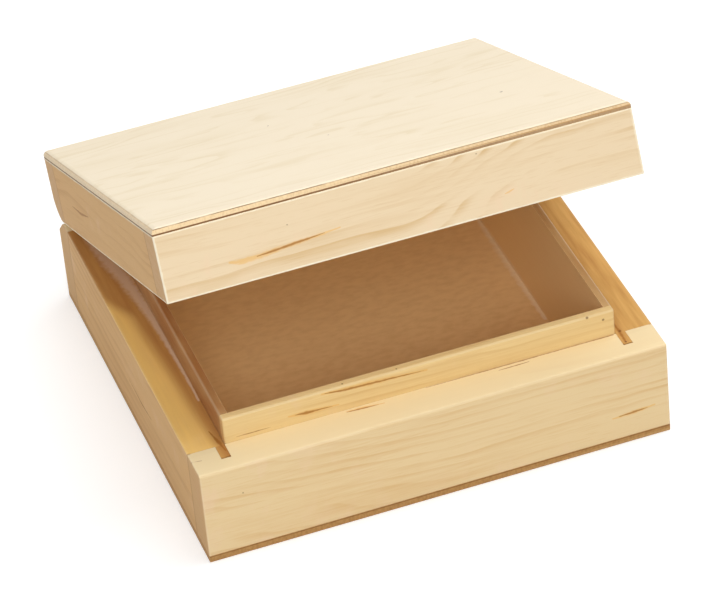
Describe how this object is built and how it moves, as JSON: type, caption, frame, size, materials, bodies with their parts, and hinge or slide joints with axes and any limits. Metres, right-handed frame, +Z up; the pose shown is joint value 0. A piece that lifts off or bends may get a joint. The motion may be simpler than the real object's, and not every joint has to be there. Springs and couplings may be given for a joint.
{
  "type": "hinged keepsake box",
  "caption": "Shallow square wooden box with a hollow hinged lid that closes over a thin raised lip lining the base.",
  "frame": {"origin": "middle of the base's underside", "axes": "+X along the width to the box's right seen from the front, the front faces -Y, +Z up; at rest the lid stands 22.9 degrees open"},
  "size_m": [0.152, 0.16, 0.1119],
  "materials": {
    "board_wood": "bare sanded maple or birch boards",
    "plywood": "bare sanded birch-faced plywood",
    "liner_wood": "bare sanded thin maple strips",
    "brass": "satin"
  },
  "bodies": {
    "base": {"base_front_board": "board_wood", "base_back_board": "board_wood", "base_left_board": "board_wood", "base_right_board": "board_wood", "bottom_panel": "plywood", "front_liner": "liner_wood", "back_liner": "liner_wood", "left_liner": "liner_wood", "right_liner": "liner_wood", "left_hinge_base_barrel": "brass", "left_hinge_pin": "brass", "right_hinge_base_barrel": "brass", "right_hinge_pin": "brass"},
    "lid": {"lid_front_board": "board_wood", "lid_back_board": "board_wood", "lid_left_board": "board_wood", "lid_right_board": "board_wood", "lid_top_panel": "plywood", "left_hinge_lid_barrel": "brass", "right_hinge_lid_barrel": "brass"}
  },
  "joints": [
    {"name": "lid_hinge", "type": "hinge", "parent": "base", "child": "lid", "pos_m": [0, 0.07, 0.0336], "axis": [-1, 0, 0], "range_deg": [-22.9, 72.1]}
  ]
}
